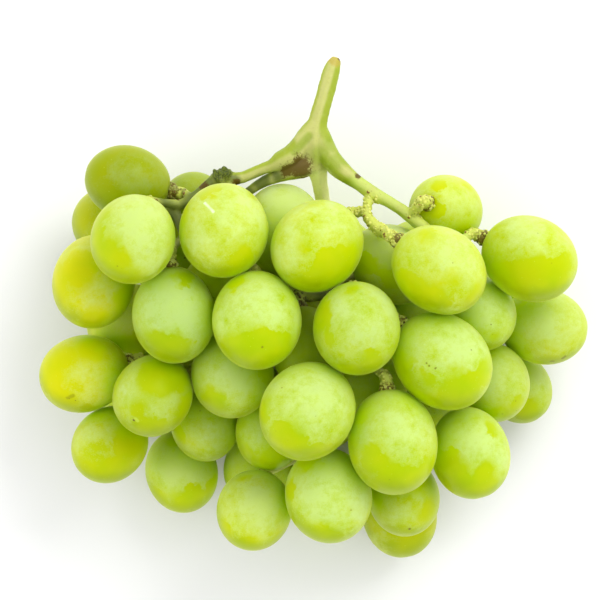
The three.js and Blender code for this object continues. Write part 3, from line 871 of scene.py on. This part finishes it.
def sheltered_by(points, grape, grapes):
    """How much its neighbours touch or cover each point of a grape, from 0 to 1."""
    outward = points - grape.centre
    outward /= np.linalg.norm(outward, axis=1)[:, None]
    room = np.full(len(points), np.inf)
    cover = np.zeros(len(points))
    for other in grapes:
        apart = np.linalg.norm(other.centre - grape.centre)
        if other is grape or apart > grape.half + other.half + SHELTER_REACH:
            continue
        away = points - other.centre
        along = away @ other.axis
        far = np.linalg.norm(away, axis=1)
        across = np.sqrt(np.maximum(far**2 - along**2, 0))
        scale = np.hypot(along / other.half, across / other.radius)
        room = np.minimum(room, far * (1 - 1 / scale))
        facing = np.maximum(-(away * outward).sum(axis=1) / far, 0)
        cover += facing * (other.radius / far) ** 2
    touch = np.clip(1 - room / PRESS_REACH, 0, 1)
    return np.clip(np.maximum(touch, cover), 0, 1)


def lumps(directions, draw):
    """Gentle unevenness of a ball, from -1 to 1."""
    height = np.zeros(len(directions))
    for _ in range(LUMP_WAVES):
        way = np.array([draw.gauss(0, LUMP_FINENESS) for _ in range(3)])
        height += np.sin(directions @ way + draw.uniform(0, 2 * math.pi))
    return height / LUMP_WAVES


def bell(distance, radius):
    """1 at the middle, falling away to nothing within a few radii."""
    return np.exp(-((distance / radius) ** 2))


def ball_points():
    """Rings of points round a ball, from below to above, and then its two ends."""
    step = np.arange(1, GRAPE_RINGS) / GRAPE_RINGS
    slide = math.pi * step - POLE_CROWDING * np.sin(2 * math.pi * step) / 2
    around = 2 * math.pi * np.arange(GRAPE_SIDES) / GRAPE_SIDES
    slope, spin = (grid.ravel() for grid in np.meshgrid(slide, around, indexing="ij"))
    level = np.sin(slope)
    rings = np.column_stack((level * np.cos(spin), level * np.sin(spin), -np.cos(slope)))
    return np.vstack((rings, ((0, 0, -1), (0, 0, 1))))


def ball_faces():
    """Quads between the rings and a fan at each end. The ends are the last two points."""
    sides, rings = GRAPE_SIDES, GRAPE_RINGS - 1
    faces = []
    for side in range(sides):
        after = (side + 1) % sides
        for ring in range(rings - 1):
            low, high = ring * sides, (ring + 1) * sides
            faces.append((low + side, low + after, high + after, high + side))
        faces.append((sides * rings, after, side))
        top = sides * (rings - 1)
        faces.append((sides * rings + 1, top + side, top + after))
    return faces


def grape_points(grape, ball, basis, draw):
    """The points of the skin, and how far each is from the stalk and from the free end."""
    width = grape.radius * (1 + EGG_SHAPE * ball[:, 2])
    size = np.column_stack((width, width, np.full(len(ball), grape.half)))
    shaped = ball * size
    from_stalk = np.linalg.norm(shaped - (0, 0, -grape.half), axis=1)
    from_scar = np.linalg.norm(shaped - (0, 0, grape.half), axis=1)
    outward = ball / size
    outward /= np.linalg.norm(outward, axis=1)[:, None]
    rise = SWELL + LUMP_HEIGHT * lumps(ball @ basis, draw)
    rise -= STALK_DIMPLE * bell(from_stalk, STALK_DIMPLE_RADIUS)
    rise -= SCAR_DIMPLE * bell(from_scar, SCAR_DIMPLE_RADIUS)
    rise += SCAR_PIP * bell(from_scar, SCAR_PIP_RADIUS)
    points = grape.centre + (shaped + outward * rise[:, None]) @ basis
    points[:, 2] = np.maximum(points[:, 2], 0)
    return points, from_stalk, from_scar


def make_grape(grape, grapes, material):
    draw = random.Random(grape.number)
    ball = ball_points()
    axis = Vector(grape.axis)
    side = axis.orthogonal().normalized()
    basis = np.array((side, axis.cross(side), axis))
    points, from_stalk, from_scar = grape_points(grape, ball, basis, draw)
    scar = 1 if grape.number in SCARRED else draw.uniform(*FAINT_SCAR)
    if grape.number in UNSCARRED:
        scar = 0
    look = GRAPES.get(grape.number, UNDERSIDE_LOOK)
    rubbed = from_above(grape, look.rubbed) + hidden_patches(draw, HIDDEN_RUBBED)
    thick_and_highlit = from_above(grape, look.thick_and_highlit) + hidden_patches(draw, HIDDEN_THICK)
    directions = ball @ basis

    mesh = bpy.data.meshes.new(f"grape_{grape.number:02d}")
    mesh.from_pydata(points, [], ball_faces())
    mesh.shade_smooth()
    mesh.materials.append(material)
    carry(mesh, {
        "bloom": np.full(len(points), look.bloom),
        "yellow": np.full(len(points), look.yellow),
        "dark": np.full(len(points), look.dark),
        "rubbed": patch_field(directions, rubbed),
        "thick_and_highlit": patch_field(directions, thick_and_highlit),
        "bloom_highlight_side": np.clip(directions @ BLOOM_HIGHLIGHT_SIDE + BLOOM_HIGHLIGHT_WIDTH, 0, 1),
        "shelter_shade": sheltered_by(points, grape, grapes),
        "scar": np.maximum(scar - from_scar / SCAR_STAIN, 1 - from_stalk / STALK_STAIN),
    })
    piece = add_object(mesh.name, mesh)
    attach(piece, "root")
    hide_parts(grape.node)


# ---- Stem ----


def smooth_stem():
    """A smooth skin over the faceted stem."""
    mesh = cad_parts["stem"].data.copy()
    mesh.materials.clear()
    shell = bmesh.new()
    shell.from_mesh(mesh)
    bmesh.ops.remove_doubles(shell, verts=shell.verts, dist=DOUBLES_APART)
    shell.to_mesh(mesh)
    shell.free()
    piece = add_object("stem_skin", mesh)
    remesh = piece.modifiers.new("even", "REMESH")
    remesh.mode = "VOXEL"
    remesh.voxel_size = STEM_VOXEL
    soften = piece.modifiers.new("soft", "SMOOTH")
    soften.factor = 0.5
    soften.iterations = STEM_SMOOTHING
    piece.data = settled(piece)
    return piece


def branch_ways(points):
    """Which way the stem runs near each of its points, away from the fork.

    It is the way in which some marks along the stem, counted by how near they are, spread most.
    """
    marks = points[:: len(points) // BRANCH_MARKS]
    ways = []
    for part in np.array_split(points, 40):  # a few points at a time, to spare memory
        apart = part[:, None] - marks
        weight = np.exp(-(apart**2).sum(axis=2) / BRANCH_REACH**2)
        weight /= weight.sum(axis=1)[:, None]
        middle = weight @ marks
        spread = np.einsum("pm,mi,mj->pij", weight, marks, marks)
        spread -= middle[:, :, None] * middle[:, None, :]
        ways.append(np.linalg.eigh(spread)[1][:, :, 2])
    ways = np.vstack(ways)
    outward = points - np.array(FORK) * MM
    return ways * np.where((ways * outward).sum(axis=1) < 0, -1, 1)[:, None]


def near(points, places):
    """1 at the middle of the nearest of some places, 0 at its edge and beyond."""
    field = np.zeros(len(points))
    for *place, radius in places:
        far = np.linalg.norm((points - np.array(place) * MM) * HEIGHT_COUNTS, axis=1)
        field = np.maximum(field, 1 - far / (radius * MM))
    return field


def roughness_of(points, spacing, draw):
    """Lumps at about that spacing in metres, mostly from -1 to 1."""
    height = np.zeros(len(points))
    for _ in range(BARK_WAVES):
        way = np.array([draw.gauss(0, 1) for _ in range(3)])
        way *= 2 * math.pi / spacing / np.linalg.norm(way)
        height += np.sin(points @ way + draw.uniform(0, 2 * math.pi))
    return height / math.sqrt(BARK_WAVES)


def evened(values, edges):
    """Values at the points of a mesh, each drawn towards those of its neighbours."""
    size = len(values)
    starts, ends = edges.T
    joins = np.bincount(edges.ravel(), minlength=size)
    for _ in range(EVENING_ROUNDS):
        total = np.bincount(starts, values[ends], size) + np.bincount(ends, values[starts], size)
        values = (values + total / joins) / 2
    return values


def sides_and_tops(mesh, points):
    """How far each point faces across its branch and up from it, from -1 to 1."""
    normals = rows_of(mesh, "normal")
    ways = branch_ways(points)
    across = np.cross(ways, (0, 0, 1))
    across /= np.linalg.norm(across, axis=1)[:, None] + 1e-9
    pairs = np.empty(2 * len(mesh.edges), np.int32)
    mesh.edges.foreach_get("vertices", pairs)
    edges = pairs.reshape(-1, 2)
    side = evened((normals * across).sum(axis=1), edges)
    top = evened((normals * np.cross(across, ways)).sum(axis=1), edges)
    return side, top


def swell_stem(mesh, points, stalk, knot):
    """Push the skin out, in lumps on the stalks and on the knot."""
    draw = random.Random(LUMP_SEED)
    rise = STALK_SWELL * np.clip(stalk * STALK_FULL, 0, 1) ** STALK_FLARE
    rise += stalk * STALK_LUMP * roughness_of(points, STALK_LUMP_SPACING, draw)
    rise += knot * KNOT_SWELL * (1 + roughness_of(points, KNOT_LUMP_SPACING, draw))
    rise += STEM_SWELL + FULL_SWELL * near(points, FULL_PLACES)
    swollen = points + rows_of(mesh, "normal") * rise[:, None]
    mesh.vertices.foreach_set("co", swollen.ravel())
    return swollen


def finish_stem(piece, grapes, material):
    mesh = piece.data
    points = rows_of(mesh)
    room = np.full(len(points), np.inf)
    for grape in grapes:
        room = np.minimum(room, np.linalg.norm(points - grape.seat, axis=1))
    stalk = np.clip(1 - room / STALK_REACH, 0, 1)
    stalk = np.maximum(stalk, np.clip(near(points, WARTY_PLACES), 0, WARTY_MOST))
    knot = np.clip(near(points, KNOTS) / (1 - KNOT_CORE), 0, 1)
    side, top = sides_and_tops(mesh, points)
    run = np.linalg.norm(points - np.array(FORK) * MM, axis=1)
    points = swell_stem(mesh, points, stalk, knot)
    carry(mesh, {
        "stalk": stalk,
        "side": side,
        "top": top,
        "brown": np.maximum(near(points, BROWN_PLACES), 1 - room / SEAT_STAIN),
        "tan": near(points, TAN_PLACES),
        "grey_and_shade": near(points, GREY_AND_SHADE_PLACES),
        "knot": knot,
        "fresh": near(points, FRESH_PLACES),
        "light": near(points, PAINTED_LIGHT_PLACES),
        "lime": near(points, LIME_PLACES),
    })
    grain = np.column_stack((side * GRAIN_WIDTH, top * GRAIN_WIDTH, run / GRAIN_STRETCH))
    mesh.attributes.new("grain", "FLOAT_VECTOR", "POINT").data.foreach_set("vector", grain.ravel())
    mesh.materials.append(material)
    mesh.shade_smooth()
    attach(piece, "root")
    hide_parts("stem")


def wart_pattern(material):
    """Corky warts strewn over a mesh, thickest where its stalk measure is greatest."""
    group = bpy.data.node_groups.new("stalk_warts", "GeometryNodeTree")
    warts = Tree(group)
    for name, kind, start in (
        ("Geometry", "NodeSocketGeometry", None),
        ("Per square metre", "NodeSocketFloat", WARTS_PER_SQUARE_METRE),
        ("Least radius", "NodeSocketFloat", WART_LEAST),
        ("Greatest radius", "NodeSocketFloat", WART_GREATEST),
        ("Seed", "NodeSocketInt", 1),
    ):
        socket = group.interface.new_socket(name, in_out="INPUT", socket_type=kind)
        if start is not None:
            socket.default_value = start
    group.interface.new_socket("Geometry", in_out="OUTPUT", socket_type="NodeSocketGeometry")
    given = warts.node("NodeGroupInput").outputs
    stalk = warts.node("GeometryNodeInputNamedAttribute", {"data_type": "FLOAT"}, {"Name": "stalk"})
    thick_and_highlit = Number(warts, stalk.outputs["Attribute"]).rise(0.25, 0.6) * given["Per square metre"]
    strewn = warts.node(
        "GeometryNodeDistributePointsOnFaces",
        {"distribute_method": "RANDOM"},
        {"Mesh": given["Geometry"], "Density": thick_and_highlit, "Seed": given["Seed"]},
    )
    ball = warts.node("GeometryNodeMeshUVSphere", None, {
        "Segments": WART_SIDES,
        "Rings": WART_RINGS,
        "Radius": 1,
    })
    sunk = warts.node("GeometryNodeTransform", None, {
        "Geometry": ball.outputs["Mesh"],
        "Translation": (0, 0, -WART_SINK),
        "Scale": (1, 1, WART_FLATNESS),
    })
    size = warts.node(
        "FunctionNodeRandomValue",
        {"data_type": "FLOAT"},
        {2: given["Least radius"], 3: given["Greatest radius"], "Seed": given["Seed"]},
    )
    placed = warts.node("GeometryNodeInstanceOnPoints", None, {
        "Points": strewn.outputs["Points"],
        "Instance": sunk.outputs["Geometry"],
        "Rotation": strewn.outputs["Rotation"],
        "Scale": size.outputs[1],
    })
    solid = warts.node("GeometryNodeRealizeInstances", None, {"Geometry": placed.outputs[0]})
    rounded = warts.node("GeometryNodeSetShadeSmooth", None, {"Geometry": solid.outputs[0]})
    painted = warts.node("GeometryNodeSetMaterial", None, {
        "Geometry": rounded.outputs[0],
        "Material": material,
    })
    warts.node("NodeGroupOutput", None, {"Geometry": painted.outputs[0]})
    return group


def strew_warts(stem, pattern, amounts):
    piece = add_object("stalk_warts", stem.data.copy())
    modifier = piece.modifiers.new("warts", "NODES")
    modifier.node_group = pattern
    for item in pattern.interface.items_tree:
        if item.in_out == "INPUT" and item.name in amounts:
            modifier[item.identifier] = amounts[item.name]
    piece.data = settled(piece)
    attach(piece, "root")


# ---- Studio ----


def make_floor():
    mesh = bpy.data.meshes.new("floor")
    corners = [(-1, -1), (1, -1), (1, 1), (-1, 1)]
    points = [(x * FLOOR_SPAN, y * FLOOR_SPAN, -FLOOR_GAP) for x, y in corners]
    mesh.from_pydata(points, [], [(0, 1, 2, 3)])
    mesh.materials.append(plain_floor())
    add_object("floor", mesh)


def add_light(name, place, size, power, colour):
    data = bpy.data.lights.new(name, "AREA")
    data.shape = "DISK"
    data.size = size
    data.energy = power
    data.color = colour
    lamp = add_object(name, data)
    lamp.location = place
    lamp.rotation_euler = (Vector(LIGHTS_AIM) - Vector(place)).to_track_quat("-Z", "Y").to_euler()


def set_studio():
    scene = bpy.context.scene
    make_floor()
    for light in LIGHTS:
        add_light(*light)
    world = bpy.data.worlds.new("studio")
    world.use_nodes = True
    background = world.node_tree.nodes["Background"]
    background.inputs["Color"].default_value = (1, 1, 1, 1)
    background.inputs["Strength"].default_value = SKY_STRENGTH
    scene.world = world
    scene.view_settings.view_transform = "Standard"
    data = bpy.data.cameras.new("camera")
    data.sensor_width = CAMERA_SENSOR
    data.lens = CAMERA_SENSOR * (CAMERA_HEIGHT - VIEW_LEVEL) / VIEW_WIDTH
    camera = add_object("camera", data)
    camera.location = (VIEW_CENTRE[0] * MM, VIEW_CENTRE[1] * MM, CAMERA_HEIGHT)
    scene.camera = camera


# ---- The bunch ----

stem_points = points_of("stem")
grapes = [Grape(number, stem_points) for number in range(1, len(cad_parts))]
marks = []
for number, tone, radius, start, end in SKIN_MARKS:
    grape = grapes[number - 1]
    ends = [Vector(grape.centre + grape.spot(*place)) for place in (start, end)]
    marks.append((tone, radius * MM, *ends))
skin = grape_skin(marks)
for grape in grapes:
    make_grape(grape, grapes, skin)
stem = smooth_stem()
finish_stem(stem, grapes, stem_bark())
strew_warts(stem, wart_pattern(wart_cork()), {"Seed": WART_SEED})
set_studio()
